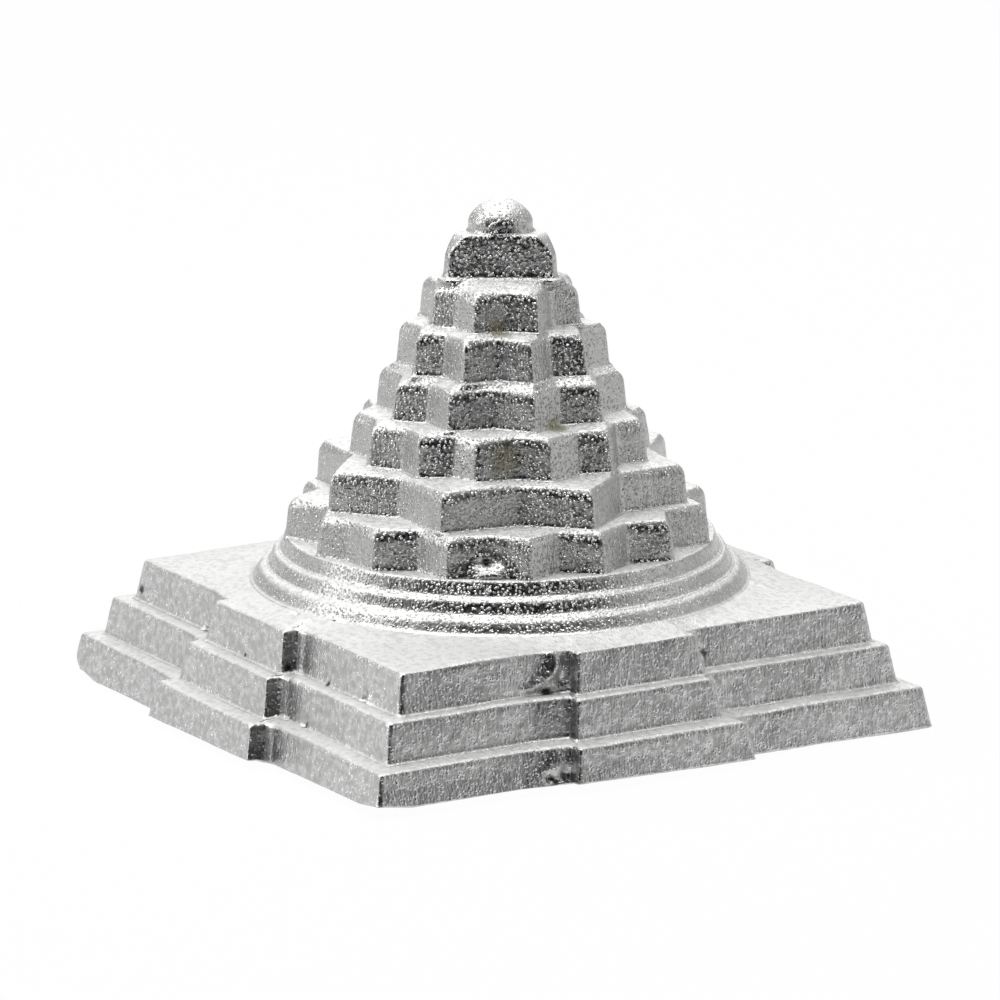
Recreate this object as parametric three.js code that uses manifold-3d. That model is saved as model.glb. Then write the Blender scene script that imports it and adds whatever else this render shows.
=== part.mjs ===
// Shri yantra: a small stepped meru of silver-grey cast metal, seated level on level.
// Millimetres, +Z up, origin at the middle of the flat bottom, triangle pointing to the front (-Y).

import * as THREE from 'three';
import { mergeVertices } from 'three/addons/utils/BufferGeometryUtils.js';
import ManifoldModule from 'manifold-3d';

const wasm = await ManifoldModule();
wasm.setup();
const { Manifold } = wasm;

// Driving dimensions shared by all levels
const edgeBevel = 0.2; // worn top edge of every wall
const seatMargin = 0.05; // flat seat left outside the foot of the level above
const fitClearance = 0.2; // between a boss and its socket or bore, all round and above
const roundSides = 96; // sides of the rings
const bossSides = 48; // sides of the locating bosses and of the dome

// Square steps: a gate block stands out of the middle of every side
const lowerStep = {
  halfWidth: 20,
  wallHeight: 2.6,
  draft: 9,
  ledgeRise: 0.36,
  gateHalfWidth: 6.6,
  gateDepth: 1.3,
  cornerCut: 0.45,
  boss: { radius: 9, height: 1.1 },
};
const middleStep = {
  halfWidth: 18.4,
  wallHeight: 2.23,
  draft: 9,
  ledgeRise: 0.36,
  gateHalfWidth: 5.6,
  gateDepth: 1.2,
  cornerCut: 0.45,
  boss: { radius: 9, height: 1.1 },
};
const upperStep = {
  halfWidth: 17.05,
  wallHeight: 2.32,
  draft: 7,
  ledgeRise: 0.41,
  gateHalfWidth: 5,
  gateDepth: 1.2,
  cornerCut: 0.45,
  hubRadius: 8, // the hub passes through the three rings
};

// Rings threaded on the hub of the upper step
const lowerRing = { radius: 15.8, wallHeight: 0.85, draft: 33, ledgeRise: 0.1 };
const middleRing = { radius: 14.78, wallHeight: 0.85, draft: 21, ledgeRise: 0.12 };
const upperRing = { radius: 14, wallHeight: 0.95, draft: 17, ledgeRise: 0.11 };
const hubReach = 1.1; // how far the hub enters the sixteen petal tier

// Petal and point tiers: star outlines with a tip on the front
const sixteenPetals = {
  tips: 16,
  tipRadius: 13.45,
  valleyRadius: 11.9,
  wallHeight: 2.3,
  draft: 7,
  ledgeWidth: 0.5,
  ledgeRise: 0.19,
  boss: { radius: 6, height: 1.1 },
};
const eightPetals = {
  tips: 8,
  tipRadius: 12.35,
  valleyRadius: 10,
  wallHeight: 2.39,
  draft: 6,
  ledgeWidth: 0.1,
  ledgeRise: 0.47,
  boss: { radius: 5, height: 1.1 },
};
const fourteenPoints = {
  tips: 14,
  tipRadius: 9.6,
  valleyRadius: 8.6,
  wallHeight: 2.32,
  draft: 7,
  ledgeWidth: 0.1,
  ledgeRise: 0.39,
  boss: { radius: 4, height: 1.1 },
};
const outerTenPoints = {
  tips: 10,
  tipRadius: 8.1,
  valleyRadius: 6.75,
  wallHeight: 2.25,
  draft: 6,
  ledgeWidth: 0.75,
  ledgeRise: 0.67,
  boss: { radius: 3.2, height: 1.1 },
};
const innerTenPoints = {
  tips: 10,
  tipRadius: 6.9,
  valleyRadius: 5.6,
  wallHeight: 2.32,
  draft: 6,
  ledgeWidth: 0.2,
  ledgeRise: 0.33,
  boss: { radius: 2.4, height: 1.1 },
};
const eightPoints = {
  tips: 8,
  tipRadius: 5.4,
  valleyRadius: 4.4,
  wallHeight: 2.34,
  draft: 6,
  ledgeWidth: 0.02,
  ledgeRise: 0.6,
  boss: { radius: 1.4, height: 0.9 },
};

// Triangle with cut corners, flared at the foot and sloped off above its corners
const triangle = {
  faceDistance: 2.35,
  cornerDistance: 3.9,
  wallHeight: 2.73,
  draft: 3,
  flareWidth: 0.2,
  flareHeight: 0.5,
  cornerSlopeHeight: 0.8,
  cornerSlopeWidth: 1,
  ledgeRise: 0.06,
  boss: { radius: 0.8, height: 0.5 },
};

// Dome on the summit
const dome = {
  radius: 2.1,
  collarHeight: 0.55,
  roundHeight: 1.45,
  shoulderRadius: 2, // pull of the shoulder
  shoulderHeight: 0.6,
  crownRadius: 0.97, // pull of the flat crown
};

const cutMargin = 1; // a cutting tool starts this far outside the face it cuts
const bossRoot = 0.3; // how deep a boss is rooted in the body that carries it

// Outlines: each maker gives a function that draws the outline in by a distance
function gatedSquare({ halfWidth, gateHalfWidth, gateDepth, cornerCut }) {
  return (inset) => {
    const wall = halfWidth - inset;
    const gate = gateHalfWidth - inset;
    const side = [
      [cornerCut - wall, -wall],
      [-gate, -wall],
      [-gate, -wall - gateDepth],
      [gate, -wall - gateDepth],
      [gate, -wall],
      [wall - cornerCut, -wall],
    ];
    const outline = [];
    for (let quarter = 0; quarter < 4; quarter += 1) {
      for (const [x, y] of side) outline.push(turned(x, y, (quarter * Math.PI) / 2));
    }
    return outline;
  };
}

function star({ tips, tipRadius, valleyRadius }) {
  return (inset) => {
    const outline = [];
    for (let tip = 0; tip < tips; tip += 1) {
      const angle = (tip * 2 * Math.PI) / tips;
      outline.push(turned(0, -(tipRadius - inset), angle));
      outline.push(turned(0, -(valleyRadius - inset), angle + Math.PI / tips));
    }
    return outline;
  };
}

function circle({ radius }) {
  return (inset) => {
    const outline = [];
    for (let side = 0; side < roundSides; side += 1) {
      outline.push(turned(0, -(radius - inset), (side * 2 * Math.PI) / roundSides));
    }
    return outline;
  };
}

function cutTriangle(faceDistance, cornerDistance) {
  const halfCut = (2 * faceDistance - cornerDistance) * Math.tan(Math.PI / 6);
  const outline = [];
  for (let corner = 0; corner < 3; corner += 1) {
    const angle = (corner * 2 * Math.PI) / 3;
    outline.push(turned(-halfCut, -cornerDistance, angle));
    outline.push(turned(halfCut, -cornerDistance, angle));
  }
  return outline;
}

function turned(x, y, angle) {
  const cos = Math.cos(angle);
  const sin = Math.sin(angle);
  return [x * cos - y * sin, x * sin + y * cos];
}

function draftInset(height, degrees) {
  return height * Math.tan(THREE.MathUtils.degToRad(degrees));
}

// Skins a stack of outlines with the same number of points and closes both ends
function loft(sections) {
  const count = sections[0].outline.length;
  const positions = [];
  const index = [];
  for (const { outline, z } of sections) {
    for (const [x, y] of outline) positions.push(x, y, z);
  }
  const bottomCentre = positions.length / 3;
  positions.push(0, 0, sections[0].z);
  const topCentre = bottomCentre + 1;
  positions.push(0, 0, sections[sections.length - 1].z);
  const lastRow = (sections.length - 1) * count;
  for (let point = 0; point < count; point += 1) {
    const next = (point + 1) % count;
    for (let row = 0; row < lastRow; row += count) {
      index.push(row + point, row + next, row + count + next);
      index.push(row + point, row + count + next, row + count + point);
    }
    index.push(bottomCentre, next, point);
    index.push(topCentre, lastRow + point, lastRow + next);
  }
  const geometry = new THREE.BufferGeometry();
  geometry.setAttribute('position', new THREE.Float32BufferAttribute(positions, 3));
  geometry.setIndex(index);
  return geometry;
}

// A level: drafted wall, bevelled edge and a ledge that rises to the seat of the next level
function level(outlineAt, seatOutline, { wallHeight, draft, ledgeRise }) {
  const topInset = draftInset(wallHeight - edgeBevel, draft);
  return loft([
    { outline: outlineAt(0), z: 0 },
    { outline: outlineAt(topInset), z: wallHeight - edgeBevel },
    { outline: outlineAt(topInset + edgeBevel), z: wallHeight },
    { outline: seatOutline, z: wallHeight + ledgeRise },
  ]);
}

function totalHeight({ wallHeight, ledgeRise }) {
  return wallHeight + ledgeRise;
}

function toManifold(geometry) {
  const bare = geometry.clone();
  bare.deleteAttribute('normal');
  bare.deleteAttribute('uv');
  const merged = mergeVertices(bare);
  const mesh = new wasm.Mesh({
    numProp: 3,
    vertProperties: new Float32Array(merged.attributes.position.array),
    triVerts: new Uint32Array(merged.index.array),
  });
  mesh.merge();
  return new Manifold(mesh);
}

function toGeometry(solid) {
  const mesh = solid.getMesh();
  const geometry = new THREE.BufferGeometry();
  geometry.setAttribute('position', new THREE.Float32BufferAttribute(mesh.vertProperties, 3));
  geometry.setIndex(Array.from(mesh.triVerts));
  const flat = geometry.toNonIndexed();
  flat.computeVertexNormals();
  return flat;
}

function upright(radius, fromZ, toZ) {
  return Manifold.cylinder(toZ - fromZ, radius, radius, bossSides).translate([0, 0, fromZ]);
}

// Joins the boss that locates the level above, rooted in the body
function withBoss(solid, { radius, height }, seatZ) {
  return solid.add(upright(radius, seatZ - bossRoot, seatZ + height));
}

// Cuts the socket that the boss of the level below enters
function withSocket(solid, { radius, height }) {
  return solid.subtract(upright(radius + fitClearance, -cutMargin, height + fitClearance));
}

function squareStep(step, seatOutline, boss, bossBelow) {
  let solid = toManifold(level(gatedSquare(step), seatOutline, step));
  if (bossBelow) solid = withSocket(solid, bossBelow);
  return toGeometry(withBoss(solid, boss, totalHeight(step)));
}

function threadedRing(ring, seatOutline) {
  const body = toManifold(level(circle(ring), seatOutline, ring));
  const bore = upright(upperStep.hubRadius + fitClearance, -cutMargin, totalHeight(ring) + cutMargin);
  return toGeometry(body.subtract(bore));
}

function starTier(tier, bossBelow) {
  const outlineAt = star(tier);
  const topInset = draftInset(tier.wallHeight - edgeBevel, tier.draft) + edgeBevel;
  const body = toManifold(level(outlineAt, outlineAt(topInset + tier.ledgeWidth), tier));
  return toGeometry(withBoss(withSocket(body, bossBelow), tier.boss, totalHeight(tier)));
}

function triangleTier() {
  const { faceDistance, cornerDistance, wallHeight, draft, flareWidth, flareHeight } = triangle;
  const { cornerSlopeHeight, cornerSlopeWidth, boss } = triangle;
  const slopeStart = wallHeight - cornerSlopeHeight;
  const startInset = draftInset(slopeStart - flareHeight, draft);
  const topInset = draftInset(wallHeight - flareHeight, draft);
  const seatZ = totalHeight(triangle);
  const sections = [
    { outline: cutTriangle(faceDistance + flareWidth, cornerDistance), z: 0 },
    { outline: cutTriangle(faceDistance, cornerDistance), z: flareHeight },
    { outline: cutTriangle(faceDistance - startInset, cornerDistance - startInset), z: slopeStart },
    {
      outline: cutTriangle(faceDistance - topInset, cornerDistance - topInset - cornerSlopeWidth),
      z: wallHeight,
    },
    {
      outline: cutTriangle(
        faceDistance - topInset - edgeBevel / 2,
        cornerDistance - topInset - cornerSlopeWidth - edgeBevel,
      ),
      z: seatZ,
    },
  ];
  return toGeometry(withBoss(withSocket(toManifold(loft(sections)), eightPoints.boss), boss, seatZ));
}

function summitDome() {
  const { radius, collarHeight, roundHeight, shoulderRadius, shoulderHeight, crownRadius } = dome;
  const top = collarHeight + roundHeight;
  const curve = new THREE.CubicBezierCurve(
    new THREE.Vector2(radius, collarHeight),
    new THREE.Vector2(shoulderRadius, collarHeight + shoulderHeight),
    new THREE.Vector2(crownRadius, top),
    new THREE.Vector2(0, top),
  );
  const profile = [new THREE.Vector2(0, 0), new THREE.Vector2(radius, 0), ...curve.getPoints(14)];
  const body = new THREE.LatheGeometry(profile, bossSides);
  body.rotateX(Math.PI / 2);
  return toGeometry(withSocket(toManifold(body), triangle.boss));
}

const castMetal = new THREE.MeshStandardMaterial({ color: '#a8a8a7', roughness: 0.5, metalness: 0.9 });

const yantra = new THREE.Group();
yantra.name = 'shri_yantra';
let seat = 0; // where the next level stands

function place(name, geometry, height) {
  const mesh = new THREE.Mesh(geometry, castMetal.clone());
  mesh.name = name;
  mesh.position.z = seat;
  yantra.add(mesh);
  seat += height;
}

// The upper step's seat is a square round the foot of the lower ring, and its hub runs through all rings
const ringSeat = gatedSquare({ ...upperStep, halfWidth: lowerRing.radius });
const ringStack = totalHeight(lowerRing) + totalHeight(middleRing) + totalHeight(upperRing);
const hub = { radius: upperStep.hubRadius, height: ringStack + hubReach };
const hubInTier = { radius: upperStep.hubRadius, height: hubReach };

place(
  'lower_square_step',
  squareStep(lowerStep, gatedSquare(middleStep)(-seatMargin), lowerStep.boss, null),
  totalHeight(lowerStep),
);
place(
  'middle_square_step',
  squareStep(middleStep, gatedSquare(upperStep)(-seatMargin), middleStep.boss, lowerStep.boss),
  totalHeight(middleStep),
);
place(
  'upper_square_step',
  squareStep(upperStep, ringSeat(-seatMargin), hub, middleStep.boss),
  totalHeight(upperStep),
);
place('lower_ring', threadedRing(lowerRing, circle(middleRing)(-seatMargin)), totalHeight(lowerRing));
place('middle_ring', threadedRing(middleRing, circle(upperRing)(-seatMargin)), totalHeight(middleRing));
place(
  'upper_ring',
  threadedRing(upperRing, circle({ radius: sixteenPetals.tipRadius })(-seatMargin)),
  totalHeight(upperRing),
);
place('sixteen_petal_tier', starTier(sixteenPetals, hubInTier), totalHeight(sixteenPetals));
place('eight_petal_tier', starTier(eightPetals, sixteenPetals.boss), totalHeight(eightPetals));
place('fourteen_point_tier', starTier(fourteenPoints, eightPetals.boss), totalHeight(fourteenPoints));
place('outer_ten_point_tier', starTier(outerTenPoints, fourteenPoints.boss), totalHeight(outerTenPoints));
place('inner_ten_point_tier', starTier(innerTenPoints, outerTenPoints.boss), totalHeight(innerTenPoints));
place('eight_point_tier', starTier(eightPoints, innerTenPoints.boss), totalHeight(eightPoints));
place('triangle_tier', triangleTier(), totalHeight(triangle));
place('bindu_dome', summitDome(), 0);

export default yantra;
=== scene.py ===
import math
import bpy
import numpy as np
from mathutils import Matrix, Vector


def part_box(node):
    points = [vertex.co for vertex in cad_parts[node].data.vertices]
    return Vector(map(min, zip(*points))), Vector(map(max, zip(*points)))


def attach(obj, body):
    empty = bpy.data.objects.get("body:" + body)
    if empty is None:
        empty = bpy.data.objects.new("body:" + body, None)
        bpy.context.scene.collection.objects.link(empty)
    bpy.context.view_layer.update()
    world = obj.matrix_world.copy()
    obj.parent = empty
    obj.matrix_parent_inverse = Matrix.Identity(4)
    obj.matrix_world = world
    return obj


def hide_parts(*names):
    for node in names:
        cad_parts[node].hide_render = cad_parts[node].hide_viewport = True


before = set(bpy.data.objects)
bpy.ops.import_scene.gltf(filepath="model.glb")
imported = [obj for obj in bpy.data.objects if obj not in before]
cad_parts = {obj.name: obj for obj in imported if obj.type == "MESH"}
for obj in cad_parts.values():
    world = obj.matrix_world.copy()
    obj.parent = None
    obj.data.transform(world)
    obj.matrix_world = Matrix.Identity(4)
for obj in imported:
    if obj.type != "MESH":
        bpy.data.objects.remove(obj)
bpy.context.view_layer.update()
print("frame loaded, nodes:", len(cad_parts))

mm = 0.001  # every size below is in millimetres, and Blender is in metres


# camera, fitted to the photo: where it stands, where it looks and how long its lens is
camera = {
    "position": (299.43, -178.73, 95.55),
    "direction": (-0.83539, 0.49918, -0.23008),
    "lens": 202.98,
    "sensorWidth": 36.0,
}


def placeCamera():
    data = bpy.data.cameras.new("photoCamera")
    data.lens = camera["lens"]
    data.sensor_width = camera["sensorWidth"]
    data.clip_start = 0.01
    data.clip_end = 20
    eye = bpy.data.objects.new("photoCamera", data)
    bpy.context.scene.collection.objects.link(eye)
    eye.location = Vector(camera["position"]) * mm
    eye.rotation_euler = Vector(camera["direction"]).to_track_quat("-Z", "Y").to_euler()
    bpy.context.scene.camera = eye


placeCamera()
print("camera placed")


# how finely the casting is meshed, and how uneven its skin is
casting = {
    "spacing": 0.14,  # between points round an outline
    "rowSpacing": 0.12,  # between points up a wall
    "ledgeSpacing": 0.204,  # and across a ledge
    "tipRounding": 0.17,  # how far the mould softens tips and valleys
    "stepRounding": 0.102,  # the corners of the square steps
    "ringRounding": 0.56,  # the corners that a ring is drawn from, until it is round
    "domeRounding": 0.28,
    "edgeRounding": 0.14,  # and the top edge of a wall
    "groove": 0.06,  # depth of the fine groove round every foot
    "grooveRows": [(0.994, 0.6), (0.988, 1), (0.975, 1), (0.93, 1)],  # share of the foot and of that depth
    "ledgeLeast": 0.02,  # a foot stays this far inside the edge below it
    "sink": 0.25,  # how far a foot goes into the level below, so that no gap shows
    "waves": [(4.5, 0.09), (1.8, 0.035), (0.6, 0.012), (0.3, 0.006)],  # size and height of the unevenness
}

# the upper part of the real casting sits a little to one side of its base: how far each part goes in x and y
castShift = {"base": (-0.066, -0.183), "floor": (0.01, 0.03), "top": (0.066, 0.183)}


def latticeNoise(points, cell, seed):
    # smooth noise from -1 to 1, the same on every run
    scaled = points / cell + seed * 7.31
    base = np.floor(scaled)
    part = scaled - base
    part = part * part * (3 - 2 * part)
    total = np.zeros(len(points))
    for corner in range(8):
        step = np.array([corner & 1, corner >> 1 & 1, corner >> 2 & 1])
        hashed = np.sin((base + step) @ np.array([127.1, 311.7, 74.7]) + seed * 1.7) * 43758.5453
        value = 2 * (hashed - np.floor(hashed)) - 1
        weight = np.prod(np.where(step, part, 1 - part), axis=1)
        total += value * weight
    return total


def unevenness(points):
    total = np.zeros(len(points))
    for seed, (cell, height) in enumerate(casting["waves"]):
        total += height * latticeNoise(points, cell, seed + 1)
    return total


def rotated(points, angle):
    cos, sin = math.cos(angle), math.sin(angle)
    return points @ np.array([[cos, sin], [-sin, cos]])


def bellWeights(width, spacing):
    # a Gaussian as wide as the rounding, and how many points it takes in on each side
    sigma = width / spacing
    aside = max(1, math.ceil(3 * sigma))
    weights = np.exp(-0.5 * (np.arange(-aside, aside + 1) / sigma) ** 2)
    return weights / weights.sum(), aside


def smoothRound(points, width):
    # softens a closed outline
    weights, aside = bellWeights(width, casting["spacing"])
    return sum(w * np.roll(points, k - aside, axis=0) for k, w in enumerate(weights))


def smoothLine(points, width, spacing):
    # the same for an open profile whose ends stay put
    weights, aside = bellWeights(width, spacing)
    padded = np.concatenate([np.repeat(points[:1], aside, 0), points, np.repeat(points[-1:], aside, 0)])
    smooth = sum(w * padded[k:k + len(points)] for k, w in enumerate(weights))
    smooth[0], smooth[-1] = points[0], points[-1]
    return smooth


def dividedLine(corners, spacing):
    # an open line through the corners with a point every spacing
    corners = np.asarray(corners, float)
    line = [corners[:1]]
    for start, end in zip(corners[:-1], corners[1:]):
        count = max(1, math.ceil(np.linalg.norm(end - start) / spacing))
        line.append(start + (end - start) * (np.arange(1, count + 1) / count)[:, None])
    return np.concatenate(line)


class Outline:
    # a closed outline of corners that can be drawn in by an inset, always with the same points

    def __init__(self, cornersAt, rounding):
        self.cornersAt = cornersAt
        self.rounding = rounding
        corners = cornersAt(0, 0)
        lengths = np.linalg.norm(np.roll(corners, -1, axis=0) - corners, axis=1)
        counts = [max(1, round(length / casting["spacing"])) for length in lengths]
        self.edge = np.concatenate([np.full(count, k) for k, count in enumerate(counts)])
        self.part = np.concatenate([np.arange(count) / count for count in counts])[:, None]

    def at(self, inset, extra=0):
        return self.through(self.cornersAt(inset, extra))

    def through(self, corners):
        # the same points, shared out in the same way over other corners
        start = corners[self.edge]
        end = corners[(self.edge + 1) % len(corners)]
        points = start * (1 - self.part) + end * self.part
        return smoothRound(points, self.rounding)


def meshFromRows(name, rows):
    # closes a stack of outlines with the same number of points, from the bottom up, at both ends
    count = rows.shape[1]
    points = np.concatenate([rows.reshape(-1, 3), rows[0].mean(0)[None], rows[-1].mean(0)[None]])
    index = np.arange(len(rows) * count).reshape(len(rows), count)
    nextIndex = np.roll(index, -1, axis=1)
    quads = np.stack([index[:-1], nextIndex[:-1], nextIndex[1:], index[1:]], -1).reshape(-1, 4)
    bottom, top = len(points) - 2, len(points) - 1
    lowFan = np.stack([np.full(count, bottom), nextIndex[0], index[0]], -1)
    highFan = np.stack([np.full(count, top), index[-1], nextIndex[-1]], -1)
    fans = np.concatenate([lowFan, highFan])
    mesh = bpy.data.meshes.new(name)
    mesh.vertices.add(len(points))
    mesh.vertices.foreach_set("co", (points * mm).ravel())
    mesh.loops.add(len(quads) * 4 + len(fans) * 3)
    mesh.loops.foreach_set("vertex_index", np.concatenate([quads.ravel(), fans.ravel()]))
    mesh.polygons.add(len(quads) + len(fans))
    starts = np.concatenate([np.arange(len(quads)) * 4, len(quads) * 4 + np.arange(len(fans)) * 3])
    mesh.polygons.foreach_set("loop_start", starts)
    mesh.polygons.foreach_set("use_smooth", np.ones(len(starts), bool))
    mesh.update(calc_edges=True)
    mesh.validate()
    piece = bpy.data.objects.new(name, mesh)
    bpy.context.scene.collection.objects.link(piece)
    return piece


def rowNormals(rows):
    around = np.roll(rows, -1, axis=1) - np.roll(rows, 1, axis=1)
    up = np.gradient(rows, axis=0)
    normals = np.cross(around, up)
    normals /= np.maximum(np.linalg.norm(normals, axis=2, keepdims=True), 1e-9)
    outward = rows - rows.mean(axis=1, keepdims=True)
    outward[..., 2] = np.linalg.norm(outward[..., :2], axis=2)
    normals *= np.where(np.sum(normals * outward, axis=2, keepdims=True) < 0, -1, 1)
    for axis in (0, 1):
        normals = normals + np.roll(normals, 1, axis) + np.roll(normals, -1, axis)
    return normals / np.maximum(np.linalg.norm(normals, axis=2, keepdims=True), 1e-9)


# lumps and pits of the real casting: the level, the place on it, how wide each way and how high
flaws = [
    {"level": "sixteen_petal_tier", "at": (10.7, -7.05, 11.3), "size": (0.55, 0.85, 0.4), "height": 1.25},
    {"level": "sixteen_petal_tier", "at": (10.2, -6.9, 12.0), "size": (0.3, 0.45, 0.1), "height": -0.22},
    {"level": "sixteen_petal_tier", "at": (10.2, -6.9, 12.4), "size": (0.3, 0.35, 0.13), "height": 0.15},
    {"level": "upper_square_step", "at": (17.4, -7.9, 5.75), "size": (0.6, 0.35, 0.16), "height": 0.2},
    {"level": "upper_square_step", "at": (17.3, -7.2, 6.05), "size": (0.6, 0.35, 0.18), "height": 0.26},
    {"level": "upper_square_step", "at": (17.35, -6.55, 6.4), "size": (0.6, 0.32, 0.22), "height": 0.3},
    {"level": "upper_square_step", "at": (17.4, -6.1, 6.9), "size": (0.6, 0.3, 0.28), "height": 0.3},
    {"level": "upper_square_step", "at": (17.4, -6.1, 7.5), "size": (0.6, 0.3, 0.3), "height": 0.22},
    {"level": "upper_square_step", "at": (17.4, -6.8, 5.4), "size": (0.5, 0.8, 0.12), "height": -0.25},
    {"level": "upper_square_step", "at": (17.7, -5.75, 6.0), "size": (0.5, 0.13, 0.35), "height": -0.3},
    {"level": "lower_square_step", "at": (20.0, -7.6, 1.7), "size": (0.6, 0.6, 0.6), "height": 0.2},
    {"level": "lower_square_step", "at": (20.0, -8.2, 0.9), "size": (0.6, 0.2, 0.2), "height": -0.3},
    {"level": "lower_square_step", "at": (20.0, -7.2, 1.1), "size": (0.6, 0.2, 0.25), "height": -0.2},
    {"level": "upper_square_step", "at": (-7.0, -17.3, 5.45), "size": (0.22, 0.5, 0.28), "height": -0.35},
    {"level": "upper_square_step", "at": (-6.5, -17.1, 6.7), "size": (0.14, 0.5, 0.6), "height": -0.15},
    {"level": "upper_square_step", "at": (-16.2, -17.05, 6.0), "size": (0.2, 0.5, 0.5), "height": -0.1},
    {"level": "upper_square_step", "at": (12.95, -17.1, 5.5), "size": (0.16, 0.5, 0.25), "height": -0.3},
    {"level": "upper_square_step", "at": (13.35, -17.1, 5.5), "size": (0.3, 0.5, 0.22), "height": 0.16},
    {"level": "middle_square_step", "at": (8.3, -18.6, 2.95), "size": (0.18, 0.5, 0.3), "height": -0.15},
    {"level": "upper_square_step", "at": (16.95, 4.6, 6.4), "size": (0.5, 0.12, 0.18), "height": -0.3},
    {"level": "middle_square_step", "at": (6.2, -18.7, 5.3), "size": (0.7, 0.5, 0.3), "height": 0.2},
    {"level": "upper_square_step", "at": (2.35, -15.9, 8.3), "size": (0.22, 0.22, 0.5), "height": -0.2},
    {"level": "upper_square_step", "at": (-10.7, -13.2, 8.0), "size": (0.12, 0.4, 0.5), "height": -0.1},
    {"level": "upper_square_step", "at": (10.5, 13.0, 8.1), "size": (0.8, 0.18, 0.5), "height": 0.12},
    {"level": "outer_ten_point_tier", "at": (5.5, -3.1, 24.7), "size": (0.35, 0.35, 0.5), "height": 0.2},
    {"level": "eight_point_tier", "at": (1.9, 3.1, 27.6), "size": (0.7, 0.7, 0.5), "height": 0.35},
    {"level": "middle_square_step", "at": (18.8, 6.3, 4.4), "size": (0.5, 0.35, 0.25), "height": -0.12},
]


def castSkin(name, rows, flatRows=0):
    # pushes the skin out and in as the mould left it; the first flatRows rows stay flat
    normals = rowNormals(rows)
    height = unevenness(rows.reshape(-1, 3)).reshape(rows.shape[:2])
    for flaw in flaws:
        if flaw["level"] == name:
            distance = np.linalg.norm((rows - np.array(flaw["at"])) / np.array(flaw["size"]), axis=2)
            height += flaw["height"] * np.exp(-0.5 * distance ** 2)
    height[:flatRows] = 0
    skin = rows + normals * height[..., None]
    skin[..., 2] = np.maximum(skin[..., 2], 0)
    return skin


def onShift(rows, part):
    return rows + np.array([*castShift[part], 0])


def lifted(points, z):
    return np.column_stack([points, np.full(len(points), z)])


def radiusAt(outline, angles):
    # how far a closed outline is from its middle in each direction
    own = np.arctan2(outline[:, 1], outline[:, 0])
    order = np.argsort(own)
    radii = np.linalg.norm(outline, axis=1)[order]
    return np.interp(angles, own[order], radii, period=2 * math.pi)


def ledgeRows(edge, edgeZ, foot, innerZ, byAngle):
    # the ledge runs from the top edge of a wall to a fine groove round the foot of the next one
    if byAngle:
        own = np.linalg.norm(edge, axis=1)
        target = radiusAt(foot, np.arctan2(edge[:, 1], edge[:, 0]))
        foot = edge * (np.minimum(target, own - casting["ledgeLeast"]) / own)[:, None]
    widest = np.linalg.norm(edge - foot, axis=1).max()
    count = max(4, math.ceil(widest / casting["ledgeSpacing"]))
    rows = []
    for k in range(1, count + 1):
        part = k / count
        rows.append(lifted(edge + (foot - edge) * part, edgeZ + (innerZ - edgeZ) * part))
    for shrink, drop in casting["grooveRows"]:
        rows.append(lifted(foot * shrink, innerZ - drop * casting["groove"]))
    return rows


def wallProfile(shape):
    # inset and height from below the foot, over the fillet and up the wall, to the start of the ledge
    draft = math.tan(math.radians(shape["draft"]))
    width, height = shape["fillet"]
    wall = shape["wallHeight"]
    bend = np.linspace(0, 1, 5)[1:, None]
    start, corner, end = np.array([(-width, 0), (0, 0), (height * draft, height)])
    fillet = start * (1 - bend) ** 2 + 2 * corner * bend * (1 - bend) + end * bend ** 2
    profile = [
        (-width, -casting["sink"]),
        (-width, 0),
        *fillet,
        (wall * draft, wall),
        (wall * draft + shape["edgeWidth"], wall + shape["edgeRise"]),
    ]
    fine = casting["rowSpacing"] / 2
    line = dividedLine(profile, fine)
    foot = np.count_nonzero(line[:, 1] < height + 0.1)  # up to here the fillet stays as it is
    upper = smoothLine(line[foot - 1:], shape.get("edgeRounding", casting["edgeRounding"]), fine)
    line = np.concatenate([line[:foot], upper[1:]])
    keep = np.arange(len(line)) % 2 == 0
    keep[-1] = True
    return line[keep]


def wallRows(outline, base, shape, extraAt=None):
    rows = []
    for inset, z in wallProfile(shape):
        extra = extraAt(z) if extraAt else 0
        rows.append(lifted(outline.at(inset, extra), base + z))
    return rows


def starCorners(tipRadius, shape):
    # tips and valleys in turn from the front tip
    # uneven holds how far single ones stand out, and how many degrees they sit to one side
    def cornersAt(inset, extra):
        corners = []
        for number in range(2 * shape["tips"]):
            out, sideways = shape["uneven"].get(number, (0, 0))
            angle = math.radians(number * 180 / shape["tips"] + shape["turn"] + sideways - 90)
            radius = (shape["valleyRadius"] if number % 2 else tipRadius - extra) - inset + out
            corners.append((radius * math.cos(angle), radius * math.sin(angle)))
        return np.array(corners)
    return cornersAt


def circleCorners(radius):
    def cornersAt(inset, extra):
        count = 64
        angles = np.arange(count) * 2 * math.pi / count
        return (radius - inset) * np.column_stack([np.cos(angles), np.sin(angles)])
    return cornersAt


# the left and right corners of the steps lean outwards along y, less at the top of a wall than at its foot
cornerLean = {"top": 0.14, "foot": 0.28, "overInset": 0.5}


def leaned(corners, halfWidth, inset):
    x, y = (corners / halfWidth).T
    leftCorner = (1 - x) * (1 - y) / 4
    rightCorner = (1 + x) * (1 + y) / 4
    up = min(max(inset / cornerLean["overInset"], 0), 1)
    lean = cornerLean["foot"] + (cornerLean["top"] - cornerLean["foot"]) * up
    return corners + np.column_stack([0 * x, lean * (rightCorner - leftCorner)])


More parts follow.
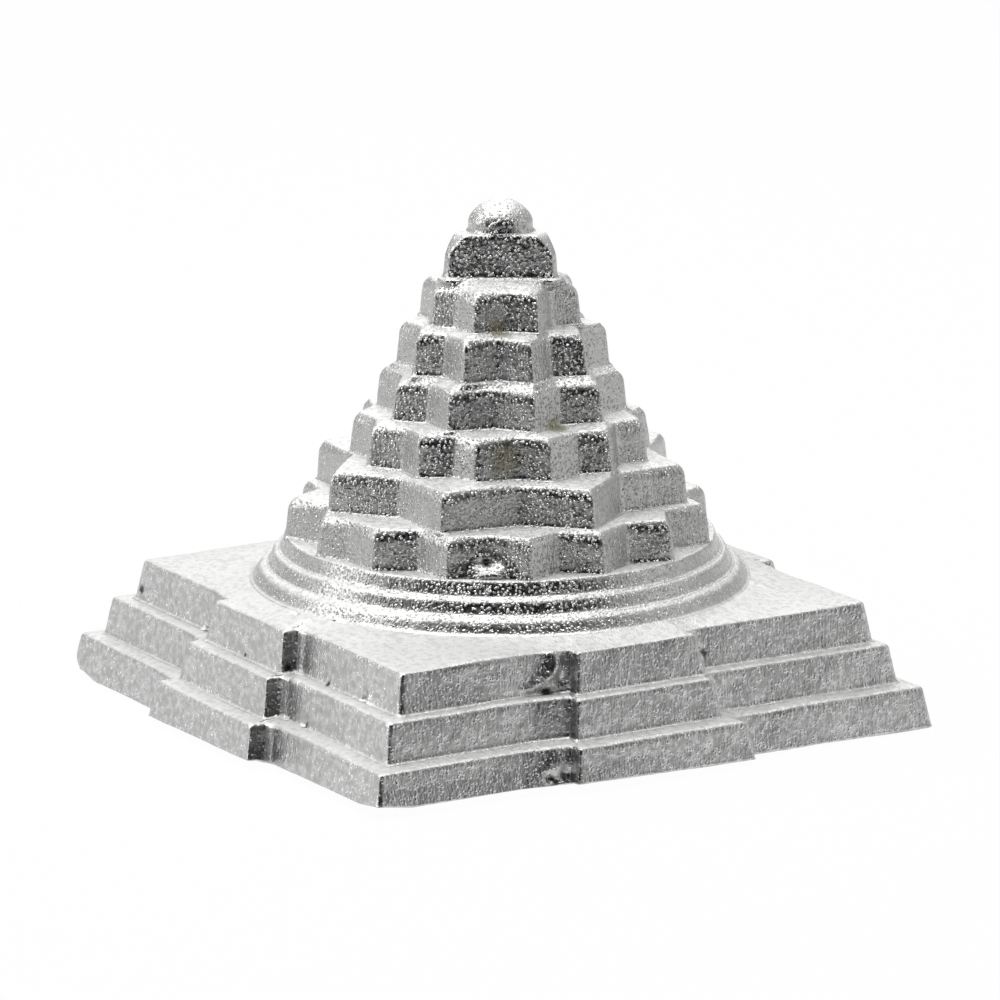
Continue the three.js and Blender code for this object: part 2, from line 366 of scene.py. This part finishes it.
def gatedCorners(halfWidth, shape):
    # metal fills the corners between a gate and its wall, along the wall and out from it
    depth, cut = shape["gateDepth"], shape["cornerCut"]
    startWidth, startDepth = shape["startFill"]
    endWidth, endDepth = shape["endFill"]

    def cornersAt(inset, extra):
        wall = halfWidth - inset
        corners = []
        for quarter, (start, end) in enumerate(shape["gates"]):
            side = np.array([
                (cut - wall, -wall),
                (start + inset - startWidth, -wall),
                (start + inset, -wall - startDepth),
                (start + inset, -wall - depth),
                (end - inset, -wall - depth),
                (end - inset, -wall - endDepth),
                (end - inset + endWidth, -wall),
                (wall - cut, -wall),
            ])
            corners.append(rotated(side, quarter * math.pi / 2))
        return leaned(np.concatenate(corners), halfWidth, inset)
    return cornersAt


def triangleCorners(faceDistance, cornerDistance):
    def cornersAt(inset, extra):
        face = faceDistance - inset
        corner = cornerDistance - inset - extra
        halfCut = (2 * face - corner) * math.tan(math.radians(30))
        side = np.array([(-halfCut, -corner), (halfCut, -corner)])
        return np.concatenate([rotated(side, k * 2 * math.pi / 3) for k in range(3)])
    return cornersAt


# square steps: gates are where they start and end on the front, right, back and left sides
# fillet is how wide and high the foot is, edge how wide and high the rounding at the top
# lower is how far the whole level sits below its place in the solids, draft is in degrees
squareSteps = {
    "lower_square_step": {
        "part": "base", "wallHeight": 2.66, "draft": 9, "fillet": (0.0, 0.01),
        "edgeWidth": 0.25, "edgeRise": 0.06, "cornerCut": 0.15,
        "gateDepth": 1.3, "startFill": (3.2, 0.32), "endFill": (0.7, 0.25),
        "gates": [(-6.7, 6.35), (-6.9, 5.9), (-6.6, 6.6), (-6.6, 6.6)],
    },
    "middle_square_step": {
        "part": "base", "wallHeight": 2.4, "draft": 9, "fillet": (0.16, 0.2), "lower": 0.15,
        "edgeWidth": 0.25, "edgeRise": 0.06, "cornerCut": 0.15,
        "gateDepth": 1.2, "startFill": (2.4, 0.36), "endFill": (0.7, 0.25),
        "gates": [(-5.63, 5.43), (-6.0, 4.4), (-5.6, 5.6), (-5.6, 5.6)],
    },
    "upper_square_step": {
        "part": "floor", "wallHeight": 2.53, "draft": 9, "fillet": (0.16, 0.2), "lower": 0.25,
        "edgeWidth": 0.3, "edgeRise": 0.04, "cornerCut": 0.15,
        "gateDepth": 1.2, "startFill": (2.6, 0.3), "endFill": (0.7, 0.25),
        "gates": [(-5.07, 4.72), (-5.4, 3.8), (-5.0, 5.0), (-5.0, 5.0)],
    },
}

ringSteps = {
    "lower_ring": {
        "wallHeight": 0.78, "draft": 30, "fillet": (0.2, 0.16), "edgeWidth": 0.22, "edgeRise": 0.1,
        "edgeRounding": 0.2,
    },
    "middle_ring": {
        "wallHeight": 0.8, "draft": 20, "fillet": (0.22, 0.28), "edgeWidth": 0.16, "edgeRise": 0.12,
        "edgeRounding": 0.12,
    },
    "upper_ring": {
        "wallHeight": 0.92, "draft": 17, "fillet": (0.22, 0.3), "edgeWidth": 0.1, "edgeRise": 0.06,
        "edgeRounding": 0.12,
    },
}

# petal and point tiers, with the small turn that each one has in the real casting, in degrees
starTiers = {
    "sixteen_petal_tier": {
        "tips": 16, "valleyRadius": 11.9, "turn": -0.7,
        "wallHeight": 2.35, "lower": 0.1, "draft": 7, "fillet": (0.1, 0.2),
        "edgeWidth": 0.2, "edgeRise": 0.15,
        "uneven": {30: (0.4, 0), 0: (0, 0.8), 1: (0.7, 0), 2: (-0.1, 0.8), 3: (0, 0.4), 4: (0, 0.8),
                   5: (0.35, 1.4), 7: (0, -0.9), 8: (-0.1, -1.4), 9: (0, 0.9), 10: (0.1, 0.4), 12: (0.3, 0)},
    },
    "eight_petal_tier": {
        "tips": 8, "valleyRadius": 9.8, "turn": -2.3,
        "wallHeight": 2.34, "draft": 6, "fillet": (0.14, 0.2),
        "edgeWidth": 0.2, "edgeRise": 0.15,
        "uneven": {1: (0.1, -1), 2: (0, -0.8), 3: (0, 0.9), 4: (0, -0.5)},
    },
    "fourteen_point_tier": {
        "tips": 14, "valleyRadius": 8.6, "turn": 0.5,
        "wallHeight": 2.47, "lower": 0.2, "draft": 7, "fillet": (0.14, 0.2),
        "edgeWidth": 0.2, "edgeRise": 0.15,
        "uneven": {0: (0.1, -0.8), 4: (0, -1.6), 5: (0, 1.7), 6: (0, 0.6), 7: (0, 3.8), 8: (0, 2.8),
                   9: (0, 2), 10: (0.3, 1)},
    },
    "outer_ten_point_tier": {
        "tips": 10, "valleyRadius": 6.75, "turn": 1.5,
        "wallHeight": 2.3, "lower": 0.1, "draft": 6, "fillet": (0.16, 0.22),
        "edgeWidth": 0.2, "edgeRise": 0.15,
        "uneven": {1: (0.1, -2), 2: (0.1, -2), 4: (0, 0.9), 5: (0, 1.2), 6: (0.1, 1.5), 18: (-0.2, 0)},
    },
    "inner_ten_point_tier": {
        "tips": 10, "valleyRadius": 5.6, "turn": 4.0,
        "wallHeight": 2.49, "lower": 0.22, "draft": 6, "fillet": (0.16, 0.22),
        "edgeWidth": 0.2, "edgeRise": 0.15,
        "uneven": {0: (-0.1, 1.2), 1: (0, -2.4), 8: (0.12, 0), 18: (-0.25, 0)},
    },
    "eight_point_tier": {
        "tips": 8, "valleyRadius": 4.4, "turn": -3.1,
        "wallHeight": 2.29, "draft": 6, "fillet": (0.14, 0.2),
        "edgeWidth": 0.2, "edgeRise": 0.15,
        "uneven": {0: (-0.3, 2), 1: (0.05, 0), 4: (0, -1), 5: (-0.1, 0)},
    },
}

triangleTier = {
    "faceDistance": 2.35, "cornerDistance": 4.05, "wallHeight": 2.74, "draft": 4, "fillet": (0.3, 0.45),
    "edgeWidth": 0.12, "edgeRise": 0.03, "slopeHeight": 1.4, "slopeWidth": 0.85,
}

dome = {
    "radius": 2.1, "height": 2.0, "fillet": (0.1, 0.1), "collarHeight": 0.55,
    "shoulder": (2.0, 1.15), "crown": 0.97, "rows": 28, "topHole": 0.03,
}

shapes = {**squareSteps, **ringSteps, **starTiers, "triangle_tier": triangleTier, "bindu_dome": dome}
levelOrder = list(shapes)


def footZ(name):
    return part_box(name)[0][2] / mm - shapes[name].get("lower", 0)


def reach(name):
    # how far the node reaches to the right, or for a star tier to its front tip
    low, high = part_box(name)
    return -low[1] / mm if name in starTiers else high[0] / mm


def makeOutline(name):
    shape = shapes[name]
    if name in squareSteps:
        corners = gatedCorners(reach(name) - shape["gateDepth"], shape)
        return Outline(corners, casting["stepRounding"])
    if name in ringSteps:
        return Outline(circleCorners(reach(name)), casting["ringRounding"])
    if name in starTiers:
        corners = starCorners(reach(name), shape)
        return Outline(corners, casting["tipRounding"])
    if name == "triangle_tier":
        corners = triangleCorners(shape["faceDistance"], shape["cornerDistance"])
        return Outline(corners, casting["tipRounding"])
    return Outline(circleCorners(shape["radius"]), casting["domeRounding"])


outlines = {name: makeOutline(name) for name in levelOrder}


def makeLevel(name, shape, part, extraAt=None):
    rows = wallRows(outlines[name], footZ(name), shape, extraAt)
    above = levelOrder[levelOrder.index(name) + 1]
    edge, edgeZ = rows[-1][:, :2], rows[-1][0, 2]
    fillet = shapes[above]["fillet"][0]
    byAngle = not (name in squareSteps and above in squareSteps)
    aboveCorners = outlines[above].cornersAt(-fillet, 0)
    aboveFoot = outlines[above if byAngle else name].through(aboveCorners)
    rows += ledgeRows(edge, edgeZ, aboveFoot, footZ(above), byAngle)
    if name == "lower_square_step":
        rows = withUnderside(rows)
    return onShift(np.array(rows), part)


# the underside stands on its middle, and its rim is worn away towards the front corner of the picture,
# most there and on the gates; the left corner is rubbed round
underside = {
    "footShares": (0.76, 0.78),  # of the base that stays flat
    "rim": [(0.986, 0), (0.995, 0.03), (1, 0.12)],  # share of the base and height
    "wallStart": 0.2,  # up to this height the rim takes the place of the wall
    "rimRise": 0.5,
    "rimFrom": (0, 40),  # x - y, from the middle to the front corner
    "cornerRise": 0.3,
    "cornerFrom": (0.94, 0.99),  # share of that way
    "gateRise": 0.3,
    "gateFrom": (20.2, 20.8),
    "leftRise": 0.2,
    "leftPull": 0.45,
    "leftFrom": (36.4, 40.4),  # -x - y, close to the left corner
    "fadeHeight": 1.6,  # above this nothing is worn away
}


def ramp(values, limits):
    # 0 up to the first limit and 1 from the second
    return np.clip((values - limits[0]) / (limits[1] - limits[0]), 0, 1)


def withUnderside(rows):
    low = rows[1][:, :2]
    first = next(k for k, row in enumerate(rows) if row[0, 2] > underside["wallStart"])
    flat = [lifted(low * share, 0) for share in underside["footShares"]]
    rim = [lifted(low * share, z) for share, z in underside["rim"]]
    for row in [*rim, *rows[first:]]:
        x, y, z = row.T
        front = ramp(x - y, underside["rimFrom"])
        corner = ramp(front, underside["cornerFrom"])
        gate = ramp(np.maximum(abs(x), abs(y)), underside["gateFrom"])
        left = ramp(-x - y, underside["leftFrom"])
        left = left * left * (3 - 2 * left)
        rise = front * (underside["rimRise"] + underside["gateRise"] * gate)
        rise += underside["cornerRise"] * corner + underside["leftRise"] * left
        fade = max(0, 1 - z[0] / underside["fadeHeight"])
        row[:, :2] += (underside["leftPull"] * left * fade ** 2)[:, None]
        row[:, 2] += rise * fade
    return flat + rim + rows[first:]


def finishPiece(name, rows, flatRows=0):
    piece = meshFromRows(name + "_cast", castSkin(name, rows, flatRows))
    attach(piece, "root")
    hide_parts(name)
    return piece


# the tips lean in near the top, where the casting is rubbed most
tipRub = {"height": 0.6, "depth": 0.22}


def tipWear(shape):
    def extraAt(z):
        part = min(max((z - shape["wallHeight"] + tipRub["height"]) / tipRub["height"], 0), 1)
        return part ** 2 * tipRub["depth"]
    return extraAt


pieces = []
for name, shape in squareSteps.items():
    flatRows = 2 if name == "lower_square_step" else 0
    pieces.append(finishPiece(name, makeLevel(name, shape, shape["part"]), flatRows))
print("square steps made")
for name, shape in ringSteps.items():
    pieces.append(finishPiece(name, makeLevel(name, shape, "top")))
print("rings made")
for name, shape in starTiers.items():
    pieces.append(finishPiece(name, makeLevel(name, shape, "top", tipWear(shape))))
print("petal and point tiers made")


def cornerSlope(z):
    # above its start, the slope draws the triangle's corners in
    start = triangleTier["wallHeight"] - triangleTier["slopeHeight"]
    part = min(max((z - start) / triangleTier["slopeHeight"], 0), 1)
    return part ** 1.6 * triangleTier["slopeWidth"]


pieces.append(finishPiece("triangle_tier", makeLevel("triangle_tier", triangleTier, "top", cornerSlope)))


def domeRows():
    radius, height, collar = dome["radius"], dome["height"], dome["collarHeight"]
    width, lip = dome["fillet"]
    steps = np.linspace(0, 1, dome["rows"])[:, None]
    pull = [(radius, collar), dome["shoulder"], (dome["crown"], height), (0, height)]
    a, b, c, d = [np.array(p) for p in pull]
    curve = a * (1 - steps) ** 3 + 3 * b * steps * (1 - steps) ** 2
    curve = curve + 3 * c * steps ** 2 * (1 - steps) + d * steps ** 3
    foot = [(radius + width, -casting["sink"]), (radius + width, 0), (radius + width * 0.4, lip * 0.3)]
    collarRows = [(radius + 0.02, lip), (radius, collar * 0.4), (radius, collar * 0.7)]
    profile = np.concatenate([foot, collarRows, curve[:-1]])
    base = footZ("bindu_dome")
    unit = outlines["bindu_dome"].at(0) / radius
    rows = [lifted(unit * max(r, dome["topHole"]), base + z) for r, z in profile]
    return onShift(np.array(rows), "top")


pieces.append(finishPiece("bindu_dome", domeRows()))
print("triangle and dome made")


def toLinear(hexColour):
    channels = [int(hexColour[k:k + 2], 16) / 255 for k in (1, 3, 5)]
    linear = [c / 12.92 if c <= 0.04045 else ((c + 0.055) / 1.055) ** 2.4 for c in channels]
    return (*linear, 1)


def addNode(tree, kind, settings=None, links=None):
    # adds a node, sets its fields and sockets, and links its inputs
    node = tree.nodes.new(kind)
    for key, value in (settings or {}).items():
        if isinstance(key, str) and hasattr(node, key):
            setattr(node, key, value)
        else:
            node.inputs[key].default_value = value
    for key, source in (links or {}).items():
        tree.links.new(source, node.inputs[key])
    return node


# cast white metal as it leaves a sandy mould: small bare facets glint among patches of grey oxide, and the
# grey between the grains is painted shade
castAlloy = {
    "metal": "#d7d7d7",
    "oxide": "#b1b1b0",
    "pitShade": "#4a4a47",  # painted shade in the pits
    "gapShade": "#b4b4b3",  # painted shade between the grains
    "metalShare": 1.0,  # how metallic each of the two is
    "oxideShare": 0.96,
    "metalRoughness": 0.25,
    "oxideRoughness": 0.33,
    "patch": 0.4,  # millimetres between patches of oxide and of bare metal
    "patchFrom": (0.38, 0.6),  # the noise that is all oxide, and the noise that is all bare metal
    "upFacingLit": "#d8d8d7",  # faces that look up get a painted highlight of the light above, as a paler colour, and are duller
    "ledgeHighlight": "#e8e8e7",  # painted highlight paler still on the rings and tiers, which stand out most
    "upwardFrom": (0.55, 0.9),  # how far a face has to look up for that: 1 is straight up
    "topLightShare": (0.55, 0.95),  # how much of the painted highlight lies over the oxide and over the bare metal
    "topLightNoise": (0.38, 0.55),  # the patch noise at which these two shares hold
    "upwardRoughness": 0.62,
    "grain": 0.2,  # millimetres between the grains of the mould, and how high they stand
    "grainHeight": 0.068,
    "grainShare": 0.46,  # of a grain's place that its peak takes
    "grainShake": 0.9,  # how far the grains are out of line, as a share of the grain
    "grainNoise": 0.35,  # how much of their height comes and goes
    "gapShadeHeight": 0.35,  # how far up the grain the painted shade of the gaps reaches
    "streak": (0.15, 0.9),  # marks of the drawn mould: how far apart and how tall
    "streakHeight": 0.028,
    "rubbedShare": 0.4,  # how much of the grain is left on the steps of the base, worn by handling
    "rubbedHeight": (8.35, 8.6),  # from where to where the wear ends, just above the floor round the rings
    "tarnish": "#9f9c8d",  # faint warm stains: place and size
    "stains": [((8.0, -4.1, 17.8), 1.6), ((4.15, -2.35, 25.2), 1.0), ((7.3, -0.1, 19.3), 1.0)],
    # places and sizes of the painted shade in the pits
    "shadedPits": [
        ((-7.0, -17.3, 5.4), 0.35), ((0.1, -18.35, 5.45), 0.22), ((4.6, -17.8, 5.6), 0.4),
        ((8.6, -17.2, 5.4), 0.28), ((12.95, -17.06, 5.5), 0.28), ((8.4, -18.65, 2.95), 0.35),
        ((16.9, 4.6, 6.4), 0.28), ((2.35, -15.9, 8.33), 0.25), ((5.3, -14.9, 8.33), 0.18),
        ((19.9, -8.1, 0.85), 0.3), ((-16.3, -17.05, 5.9), 0.4), ((10.3, -6.9, 12.05), 0.45),
        ((17.0, -6.7, 5.35), 0.5),
    ],
    "spotCore": 0.3,  # share of a pit or stain that has its full colour
}


def addSpots(tree, place, spots):
    # 1 within each spot, fading to 0 at its rim
    total = None
    for middle, size in spots:
        middle = Vector(middle) * mm
        away = addNode(tree, "ShaderNodeVectorMath", {"operation": "DISTANCE", 1: middle}, {0: place})
        inside = addNode(tree, "ShaderNodeMapRange",
                         {"interpolation_type": "SMOOTHSTEP", "From Min": size * mm,
                          "From Max": size * castAlloy["spotCore"] * mm},
                         {"Value": away.outputs["Value"]})
        if total is None:
            total = inside
        else:
            total = addNode(tree, "ShaderNodeMath", {"operation": "MAXIMUM"},
                            {0: total.outputs[0], 1: inside.outputs[0]})
    return total


def makeCastAlloy():
    material = bpy.data.materials.new("sandCastWhiteMetal")
    material.use_nodes = True
    tree = material.node_tree
    tree.nodes.clear()
    place = addNode(tree, "ShaderNodeTexCoord").outputs["Object"]
    normal = addNode(tree, "ShaderNodeNewGeometry").outputs["Normal"]

    # sand grains out of line
    grain = castAlloy["grain"] * mm
    sway = addNode(tree, "ShaderNodeTexNoise", {"Scale": 1 / grain, "Detail": 1.0}, {"Vector": place})
    shake = addNode(tree, "ShaderNodeVectorMath",
                    {"operation": "SCALE", "Scale": castAlloy["grainShake"] * grain},
                    {0: sway.outputs["Color"]})
    shaken = addNode(tree, "ShaderNodeVectorMath", {"operation": "ADD"}, {0: place, 1: shake.outputs[0]})
    cells = addNode(tree, "ShaderNodeTexVoronoi", {"Scale": 1 / grain}, {"Vector": shaken.outputs[0]})
    peaks = addNode(tree, "ShaderNodeMapRange", {"From Min": castAlloy["grainShare"], "From Max": 0.0},
                    {"Value": cells.outputs["Distance"]})
    sand = addNode(tree, "ShaderNodeMath", {"operation": "MULTIPLY_ADD", 1: castAlloy["grainNoise"]},
                   {0: sway.outputs["Fac"], 2: peaks.outputs[0]})

    # tiers is 0 on the steps of the base and 1 above them
    level = addNode(tree, "ShaderNodeSeparateXYZ", None, {0: place})
    low, high = castAlloy["rubbedHeight"]
    tiers = addNode(tree, "ShaderNodeMapRange", {"From Min": low * mm, "From Max": high * mm},
                    {"Value": level.outputs["Z"]})
    worn = addNode(tree, "ShaderNodeMapRange", {"To Min": castAlloy["rubbedShare"]},
                   {"Value": tiers.outputs[0]})

    # upright marks of the drawn mould
    apart, tall = castAlloy["streak"]
    stretched = addNode(tree, "ShaderNodeVectorMath", {"operation": "MULTIPLY", 1: (1, 1, apart / tall)},
                        {0: place})
    streaks = addNode(tree, "ShaderNodeTexNoise", {"Scale": 1 / (apart * mm), "Detail": 1.0},
                      {"Vector": stretched.outputs[0]})

    # patches of oxide and bare metal, and grey painted shade between the grains
    patch = addNode(tree, "ShaderNodeTexNoise", {"Scale": 1 / (castAlloy["patch"] * mm), "Detail": 3.0},
                    {"Vector": place})
    low, high = castAlloy["patchFrom"]
    bare = addNode(tree, "ShaderNodeMapRange", {"From Min": low, "From Max": high},
                   {"Value": patch.outputs["Fac"]})
    colour = addNode(tree, "ShaderNodeMix",
                     {"data_type": "RGBA", 6: toLinear(castAlloy["oxide"]), 7: toLinear(castAlloy["metal"])},
                     {0: bare.outputs[0]})
    # painted shade: greys the low places between the grain peaks, less on the steps of the base
    gapShadeMask = addNode(tree, "ShaderNodeMapRange", {"From Min": castAlloy["gapShadeHeight"], "From Max": 0.0},
                      {"Value": peaks.outputs[0], "To Max": worn.outputs[0]})
    colour = addNode(tree, "ShaderNodeMix", {"data_type": "RGBA", 7: toLinear(castAlloy["gapShade"])},
                     {0: gapShadeMask.outputs[0], 6: colour.outputs[2]})

    # faces that look up: a painted highlight in their colour, and more roughness
    facing = addNode(tree, "ShaderNodeSeparateXYZ", None, {0: normal})
    low, high = castAlloy["upwardFrom"]
    upFacingLit = addNode(tree, "ShaderNodeMapRange", {"From Min": low, "From Max": high},
                     {"Value": facing.outputs["Z"]})
    low, high = castAlloy["topLightNoise"]
    overOxide, overMetal = castAlloy["topLightShare"]
    share = addNode(tree, "ShaderNodeMapRange",
                    {"From Min": low, "From Max": high, "To Min": overOxide, "To Max": overMetal},
                    {"Value": patch.outputs["Fac"]})
    topLightMask = addNode(tree, "ShaderNodeMath", {"operation": "MULTIPLY"},
                   {0: upFacingLit.outputs[0], 1: share.outputs[0]})
    # the painted highlight colour, paler on the rings and tiers than on the base
    paintedTopLight = addNode(tree, "ShaderNodeMix",
                    {"data_type": "RGBA", 6: toLinear(castAlloy["upFacingLit"]), 7: toLinear(castAlloy["ledgeHighlight"])},
                    {0: tiers.outputs[0]})
    colour = addNode(tree, "ShaderNodeMix", {"data_type": "RGBA"},
                     {0: topLightMask.outputs[0], 6: colour.outputs[2], 7: paintedTopLight.outputs[2]})

    # stains, and painted shade in the pits
    stains = addSpots(tree, place, castAlloy["stains"])
    colour = addNode(tree, "ShaderNodeMix", {"data_type": "RGBA", 7: toLinear(castAlloy["tarnish"])},
                     {0: stains.outputs[0], 6: colour.outputs[2]})
    shadedPits = addSpots(tree, place, castAlloy["shadedPits"])
    colour = addNode(tree, "ShaderNodeMix", {"data_type": "RGBA", 7: toLinear(castAlloy["pitShade"])},
                     {0: shadedPits.outputs[0], 6: colour.outputs[2]})

    metallic = addNode(tree, "ShaderNodeMapRange",
                       {"To Min": castAlloy["oxideShare"], "To Max": castAlloy["metalShare"]},
                       {"Value": bare.outputs[0]})
    roughness = addNode(tree, "ShaderNodeMapRange",
                        {"To Min": castAlloy["oxideRoughness"], "To Max": castAlloy["metalRoughness"]},
                        {"Value": bare.outputs[0]})
    roughness = addNode(tree, "ShaderNodeMapRange", {"To Max": castAlloy["upwardRoughness"]},
                        {"Value": upFacingLit.outputs[0], "To Min": roughness.outputs[0]})
    bump = addNode(tree, "ShaderNodeBump", {"Distance": castAlloy["grainHeight"] * mm},
                   {"Height": sand.outputs[0], "Strength": worn.outputs[0]})
    bump = addNode(tree, "ShaderNodeBump", {"Strength": 1.0, "Distance": castAlloy["streakHeight"] * mm},
                   {"Height": streaks.outputs["Fac"], "Normal": bump.outputs["Normal"]})
    shader = addNode(tree, "ShaderNodeBsdfPrincipled", {},
                     {"Base Color": colour.outputs[2], "Metallic": metallic.outputs[0],
                      "Roughness": roughness.outputs[0], "Normal": bump.outputs["Normal"]})
    addNode(tree, "ShaderNodeOutputMaterial", None, {"Surface": shader.outputs["BSDF"]})
    return material


castMaterial = makeCastAlloy()
for piece in pieces:
    piece.data.materials.append(castMaterial)
print("material made")


# white studio table, in a white tent that is open towards the camera
studio = {
    "floorSize": 4000,
    "floorFront": 150,  # from the middle of the object to the edge of the paper towards the camera
    "paper": "#ffffff",
    "paperInBounce": "#8c8c8c",  # how pale the paper is in the light that it throws back
    "whiteShare": 0.97,  # how much of the paper is plain white in the picture
    "world": "#ffffff",
    "worldStrength": 0.02,
    "tentStrength": 0.68,
    "tentStart": -0.8,  # -1 is at the camera, 0 at the sides of the table and 1 straight behind it
    "tentEnd": -0.1,  # from here on the tent is as bright as it gets
    "aimHeight": 12,  # the lamps look at the object here
}

# soft lamps: the turn is round the object from the camera, to the right of the picture, in degrees
lamps = {
    "left": {"turn": -90, "rise": 20, "distance": 400, "size": 200, "power": 0.26},
    "leftHigh": {"turn": -90, "rise": 50, "distance": 400, "size": 200, "power": 0.42},
    "right": {"turn": 90, "rise": 20, "distance": 400, "size": 200, "power": 0.06},
    "back": {"turn": 180, "rise": 40, "distance": 400, "size": 250, "power": 0.25},
    "top": {"turn": 180, "rise": 85, "distance": 450, "size": 300, "power": 1.2},
}


def makeFloor():
    half = studio["floorSize"] / 2 * mm
    front = studio["floorFront"] * mm
    mesh = bpy.data.meshes.new("studioFloor")
    corners = [(-half, -half, 0), (front, -half, 0), (front, half, 0), (-half, half, 0)]
    mesh.from_pydata(corners, [], [(0, 1, 2, 3)])
    floor = bpy.data.objects.new("studioFloor", mesh)
    floor.rotation_euler.z = math.atan2(camera["position"][1], camera["position"][0])
    bpy.context.scene.collection.objects.link(floor)
    material = bpy.data.materials.new("whitePaperFloor")
    material.use_nodes = True
    tree = material.node_tree
    tree.nodes.clear()
    path = addNode(tree, "ShaderNodeLightPath").outputs
    seen = addNode(tree, "ShaderNodeMath", {"operation": "MAXIMUM"},
                   {0: path["Is Camera Ray"], 1: path["Is Glossy Ray"]})
    seen = addNode(tree, "ShaderNodeMath", {"operation": "MAXIMUM"},
                   {0: seen.outputs[0], 1: path["Is Transmission Ray"]})
    inBounce = toLinear(studio["paperInBounce"])
    colour = addNode(tree, "ShaderNodeMix", {"data_type": "RGBA", 6: inBounce, 7: toLinear(studio["paper"])},
                     {0: seen.outputs[0]})
    share = addNode(tree, "ShaderNodeMath", {"operation": "MULTIPLY", 1: studio["whiteShare"]},
                    {0: seen.outputs[0]})
    paper = addNode(tree, "ShaderNodeBsdfDiffuse", None, {"Color": colour.outputs[2]})
    white = addNode(tree, "ShaderNodeEmission", {"Strength": 1.0})
    mixed = addNode(tree, "ShaderNodeMixShader", None,
                    {0: share.outputs[0], 1: paper.outputs["BSDF"], 2: white.outputs[0]})
    addNode(tree, "ShaderNodeOutputMaterial", None, {"Surface": mixed.outputs[0]})
    mesh.materials.append(material)


def makeLamps():
    aim = Vector((0, 0, studio["aimHeight"] * mm))
    towardsCamera = math.atan2(camera["position"][1], camera["position"][0])
    for name, lamp in lamps.items():
        data = bpy.data.lights.new(name, "AREA")
        data.size = lamp["size"] * mm
        data.energy = lamp["power"]
        light = bpy.data.objects.new(name, data)
        bpy.context.scene.collection.objects.link(light)
        turn = towardsCamera + math.radians(lamp["turn"])
        rise = math.radians(lamp["rise"])
        way = Vector((math.cos(turn) * math.cos(rise), math.sin(turn) * math.cos(rise), math.sin(rise)))
        light.location = aim + way * lamp["distance"] * mm
        light.rotation_euler = (-way).to_track_quat("-Z", "Y").to_euler()


def makeStudio():
    makeFloor()
    makeLamps()
    world = bpy.data.worlds.new("whiteTent")
    bpy.context.scene.world = world
    world.use_nodes = True
    tree = world.node_tree
    tree.nodes.clear()
    away = -Vector((camera["position"][0], camera["position"][1], 0)).normalized()
    way = addNode(tree, "ShaderNodeTexCoord").outputs["Generated"]
    behind = addNode(tree, "ShaderNodeVectorMath", {"operation": "DOT_PRODUCT", 1: away}, {0: way})
    tent = addNode(tree, "ShaderNodeMapRange",
                   {"interpolation_type": "SMOOTHSTEP", "From Min": studio["tentStart"],
                    "From Max": studio["tentEnd"], "To Max": studio["tentStrength"]},
                   {"Value": behind.outputs["Value"]})
    path = addNode(tree, "ShaderNodeLightPath").outputs
    mirrored = addNode(tree, "ShaderNodeMath", {"operation": "MAXIMUM"},
                       {0: path["Is Glossy Ray"], 1: path["Is Transmission Ray"]})
    inMetal = addNode(tree, "ShaderNodeMapRange", {"To Min": studio["worldStrength"]},
                      {"Value": mirrored.outputs[0], "To Max": tent.outputs[0]})
    strength = addNode(tree, "ShaderNodeMath", {"operation": "MAXIMUM"},
                       {0: inMetal.outputs[0], 1: path["Is Camera Ray"]})
    white = addNode(tree, "ShaderNodeBackground", {"Color": toLinear(studio["world"])},
                    {"Strength": strength.outputs[0]})
    addNode(tree, "ShaderNodeOutputWorld", None, {"Surface": white.outputs[0]})


makeStudio()
bpy.context.scene.view_settings.view_transform = "Standard"
print("studio made")
